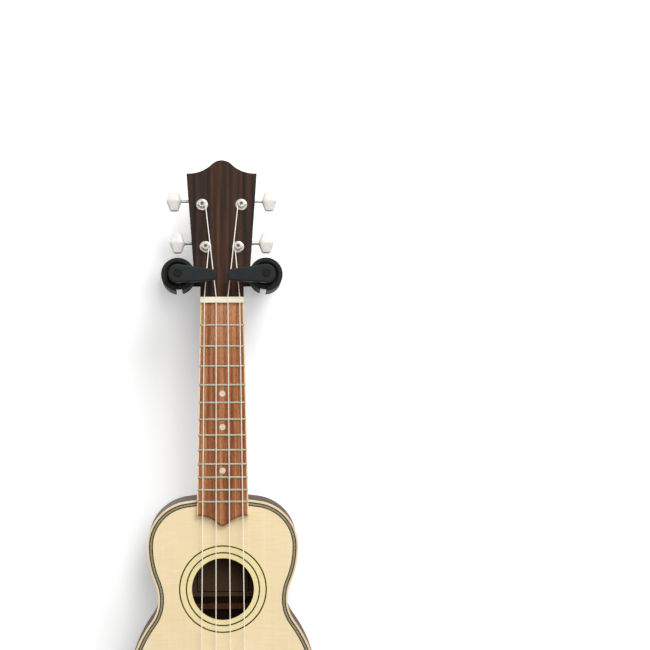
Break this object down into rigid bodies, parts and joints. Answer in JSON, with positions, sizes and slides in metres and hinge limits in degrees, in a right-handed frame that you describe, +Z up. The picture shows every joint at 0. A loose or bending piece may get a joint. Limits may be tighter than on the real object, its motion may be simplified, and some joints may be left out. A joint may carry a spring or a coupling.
{
  "type": "ukulele on wall hanger",
  "caption": "Small guitar with a figure-of-eight body, hanging by its head between the padded arms of a wall hanger with turning gates.",
  "frame": {"origin": "centre of the wall plate's back face, on the wall", "axes": "+Z up along the strings, +Y into the wall, so the front faces -Y"},
  "size_m": [0.167, 0.1046, 0.5371],
  "materials": {
    "spruce": "satin pale spruce with fine straight grain",
    "rosewood_veneer": "very dark brown rosewood with streaks, gloss lacquer",
    "rosewood_board": "reddish brown oiled rosewood with long grain",
    "mahogany": "satin mahogany",
    "rib_wood": "dark brown rosewood, gloss lacquer",
    "maple": "pale maple binding",
    "purfling_wood": "black lines with a pale twisted line between",
    "lining_wood": "plain inside wood",
    "bone": "ivory coloured nut and saddle",
    "fret_wire": "polished nickel silver",
    "pearl_dot": "pearl inlay",
    "nylon": "translucent white nylon",
    "tuner_metal": "nickel plated",
    "pearl_button": "white pearl plastic",
    "label_paper": "plain brown paper label, without print",
    "gate_plastic": "dark blue grey moulded plastic",
    "cap_plastic": "black brown moulded plastic",
    "ring_rubber": "firm black rubber",
    "foam": "dense black foam",
    "black_steel": "black powder coat",
    "carrier_plastic": "black glass filled plastic",
    "bright_steel": "bright zinc plated steel"
  },
  "bodies": {
    "wall_mount": {"wall_plate": "black_steel", "guide_frame": "black_steel", "cam_plate": "black_steel", "guide_rods": "bright_steel", "frame_screws": "bright_steel", "return_springs": "bright_steel"},
    "yoke": {"yoke_carrier": "carrier_plastic", "arm_tubes": "black_steel", "foam_sleeves": "foam", "adapter_ring_left": "ring_rubber", "adapter_ring_right": "ring_rubber"},
    "left_gate": {"gate_left": "gate_plastic", "gate_cap_left": "cap_plastic", "gate_shaft_left": "bright_steel", "crank_left": "bright_steel"},
    "right_gate": {"gate_right": "gate_plastic", "gate_cap_right": "cap_plastic", "gate_shaft_right": "bright_steel", "crank_right": "bright_steel"},
    "post_1": {"string_post_1": "tuner_metal"},
    "key_1": {"worm_1": "tuner_metal", "button_1": "pearl_button"},
    "post_2": {"string_post_2": "tuner_metal"},
    "key_2": {"worm_2": "tuner_metal", "button_2": "pearl_button"},
    "post_3": {"string_post_3": "tuner_metal"},
    "key_3": {"worm_3": "tuner_metal", "button_3": "pearl_button"},
    "post_4": {"string_post_4": "tuner_metal"},
    "key_4": {"worm_4": "tuner_metal", "button_4": "pearl_button"},
    "ukulele": {"fretboard": "rosewood_board", "fretboard_binding": "maple", "frets": "fret_wire", "fret_markers": "pearl_dot", "nut": "bone", "strings": "nylon", "neck": "mahogany", "heel_cap": "rosewood_veneer", "head_veneer": "rosewood_veneer", "soundboard": "spruce", "purfling": "purfling_wood", "rosette": "purfling_wood", "back_plate": "rib_wood", "front_binding": "maple", "back_binding": "rib_wood", "ribs": "rib_wood", "neck_block": "mahogany", "tail_block": "mahogany", "front_lining": "lining_wood", "back_lining": "lining_wood", "top_braces": "spruce", "bridge_plate": "lining_wood", "back_braces": "mahogany", "label": "label_paper", "bridge": "rosewood_board", "saddle": "bone", "tuner_ferrules": "tuner_metal", "tuner_plates": "tuner_metal", "tuner_screws": "tuner_metal"}
  },
  "joints": [
    {"name": "yoke_slide", "type": "slide", "parent": "wall_mount", "child": "yoke", "axis": [0, 0, 1], "range_m": [0, 0.015], "stiffness_N_per_m": 120, "springref_m": 0.035, "deforming": ["return_springs"]},
    {"name": "left_gate_turn", "type": "hinge", "parent": "yoke", "child": "left_gate", "pos_m": [-0.03821, -0.092, 0.0096], "axis": [0, -0.9969, 0.0785], "range_deg": [0, 90]},
    {"name": "right_gate_turn", "type": "hinge", "parent": "yoke", "child": "right_gate", "pos_m": [0.03821, -0.092, 0.0096], "axis": [0, 0.9969, -0.0785], "range_deg": [0, 90]},
    {"name": "ukulele_lift", "type": "slide", "parent": "yoke", "child": "ukulele", "axis": [0, 0, 1], "range_m": [0, 0.03]},
    {"name": "key_1_turn", "type": "hinge", "parent": "ukulele", "child": "key_1", "pos_m": [-0.0142, -0.0566, 0.03703], "axis": [1, 0, 0], "continuous": true},
    {"name": "post_1_turn", "type": "hinge", "parent": "ukulele", "child": "post_1", "pos_m": [-0.0142, -0.07577, 0.03343], "axis": [0, -0.9781, 0.2079], "continuous": true},
    {"name": "key_2_turn", "type": "hinge", "parent": "ukulele", "child": "key_2", "pos_m": [-0.01715, -0.0487, 0.07419], "axis": [1, 0, 0], "continuous": true},
    {"name": "post_2_turn", "type": "hinge", "parent": "ukulele", "child": "post_2", "pos_m": [-0.01715, -0.06787, 0.0706], "axis": [0, -0.9781, 0.2079], "continuous": true},
    {"name": "key_3_turn", "type": "hinge", "parent": "ukulele", "child": "key_3", "pos_m": [0.01715, -0.0487, 0.07419], "axis": [1, 0, 0], "continuous": true},
    {"name": "post_3_turn", "type": "hinge", "parent": "ukulele", "child": "post_3", "pos_m": [0.01715, -0.06787, 0.0706], "axis": [0, -0.9781, 0.2079], "continuous": true},
    {"name": "key_4_turn", "type": "hinge", "parent": "ukulele", "child": "key_4", "pos_m": [0.0142, -0.0566, 0.03703], "axis": [1, 0, 0], "continuous": true},
    {"name": "post_4_turn", "type": "hinge", "parent": "ukulele", "child": "post_4", "pos_m": [0.0142, -0.07577, 0.03343], "axis": [0, -0.9781, 0.2079], "continuous": true}
  ],
  "couplings": [
    {"joint": "left_gate_turn", "follows": "yoke_slide", "rad_per_m": 104.7},
    {"joint": "right_gate_turn", "follows": "yoke_slide", "rad_per_m": 104.7},
    {"joint": "post_1_turn", "follows": "key_1_turn", "ratio": 0.071429},
    {"joint": "post_2_turn", "follows": "key_2_turn", "ratio": 0.071429},
    {"joint": "post_3_turn", "follows": "key_3_turn", "ratio": 0.071429},
    {"joint": "post_4_turn", "follows": "key_4_turn", "ratio": 0.071429}
  ]
}
